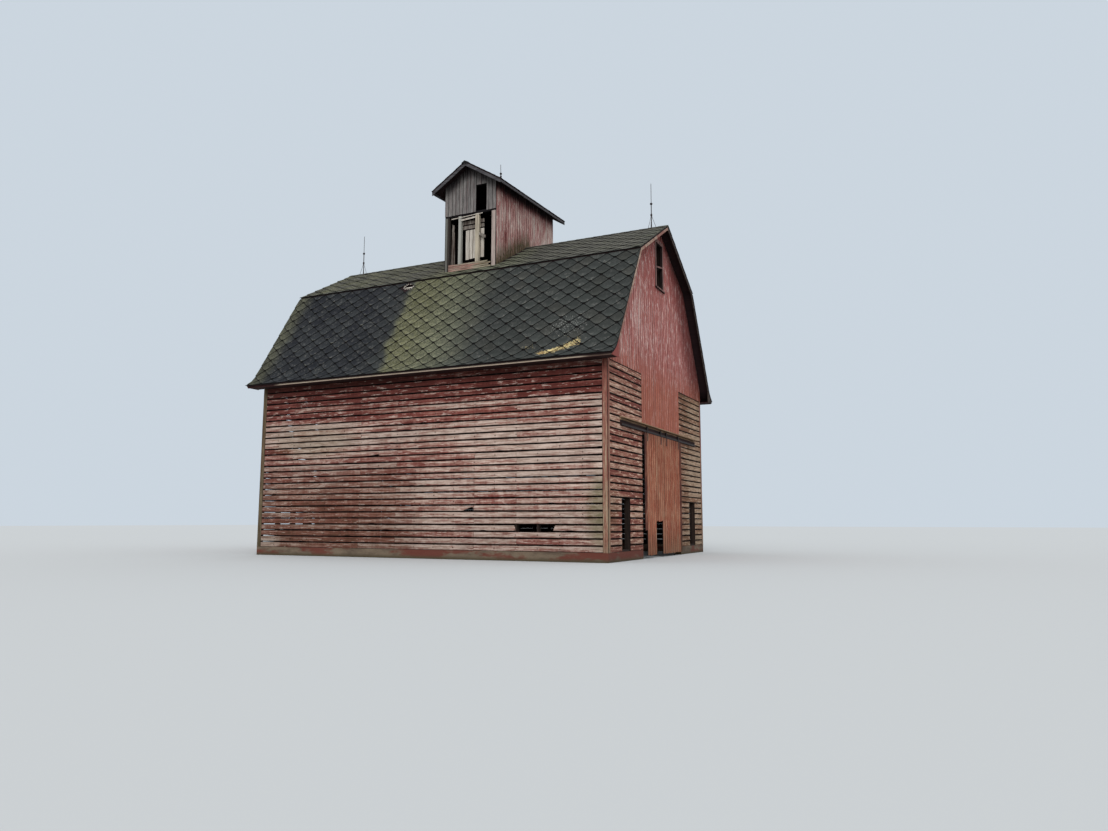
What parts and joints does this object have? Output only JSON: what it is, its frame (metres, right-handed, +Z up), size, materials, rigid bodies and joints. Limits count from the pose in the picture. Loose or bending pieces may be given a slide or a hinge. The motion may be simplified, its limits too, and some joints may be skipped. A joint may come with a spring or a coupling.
{
  "type": "drive-through corn crib barn",
  "caption": "Red gambrel barn with slatted crib walls, flared eaves, a central alley with sliding doors, and an open-fronted gabled cupola across the ridge.",
  "frame": {"origin": "centre of the building's bounding box at ground level", "axes": "+X along the ridge towards the gable whose doors slide, +Y from the long front wall to the back wall, +Z up"},
  "size_m": [11.55, 9.06, 12.4197],
  "materials": {
    "foundation_concrete": "weathered concrete with patches of old red paint",
    "inner_timber": "bare rough-sawn timber, grey-brown with age",
    "slat_paint": "boards with old red paint, worn to pale grey where rain reaches",
    "end_slat_paint": "boards with chalky red paint",
    "gable_paint": "upright boards with chalky red paint peeling to bare wood",
    "corner_paint": "old red paint, worn to grey near the ground",
    "window_wood": "pale weathered wood",
    "hood_wood": "grey-brown weathered wood",
    "old_iron": "dull dark weathered iron",
    "door_paint": "upright boards with worn orange-red paint",
    "roof_shingle": "old asphalt shingle with moss and lichen",
    "rake_wood": "pale pinkish-grey weathered trim",
    "silver_wood": "bare boards weathered silver grey",
    "cupola_paint": "faded red paint on upright boards",
    "panel_wood": "pale bare boards"
  },
  "bodies": {
    "building": {"foundation": "foundation_concrete", "front_frame": "inner_timber", "back_frame": "inner_timber", "crib_end_frames": "inner_timber", "gable_frames": "inner_timber", "front_slats": "slat_paint", "back_slats": "slat_paint", "right_crib_slats": "end_slat_paint", "left_crib_slats": "end_slat_paint", "right_gable_boards": "gable_paint", "left_gable_boards": "gable_paint", "corner_boards": "corner_paint", "window_frames": "window_wood", "door_tracks": "hood_wood", "door_rails": "old_iron", "far_door_boards": "door_paint", "far_door_ledges": "inner_timber", "far_door_hangers": "old_iron", "lower_roof_front": "roof_shingle", "lower_roof_back": "roof_shingle", "upper_roof_front": "roof_shingle", "upper_roof_back": "roof_shingle", "eave_fascias": "rake_wood", "eave_soffits": "corner_paint", "rake_boards": "rake_wood", "lower_rafters": "inner_timber", "upper_rafters": "inner_timber", "ridge_board": "inner_timber", "collar_ties": "inner_timber", "cupola_frame": "silver_wood", "cupola_gable_boards": "silver_wood", "cupola_back_boards": "silver_wood", "cupola_side_boards": "cupola_paint", "cupola_base_board": "cupola_paint", "cupola_inner_panel": "panel_wood", "cupola_roof_left": "roof_shingle", "cupola_roof_right": "roof_shingle", "cupola_rake_boards": "silver_wood", "lightning_rods": "old_iron"},
    "front_door": {"front_door_boards": "door_paint", "front_door_ledges": "inner_timber", "front_door_hangers": "old_iron"},
    "back_door": {"back_door_boards": "door_paint", "back_door_ledges": "inner_timber", "back_door_hangers": "old_iron"}
  },
  "joints": [
    {"name": "front_door_slide", "type": "slide", "parent": "building", "child": "front_door", "axis": [0, -1, 0], "range_m": [0, 1.6]},
    {"name": "back_door_slide", "type": "slide", "parent": "building", "child": "back_door", "axis": [0, 1, 0], "range_m": [0, 1.6]}
  ]
}
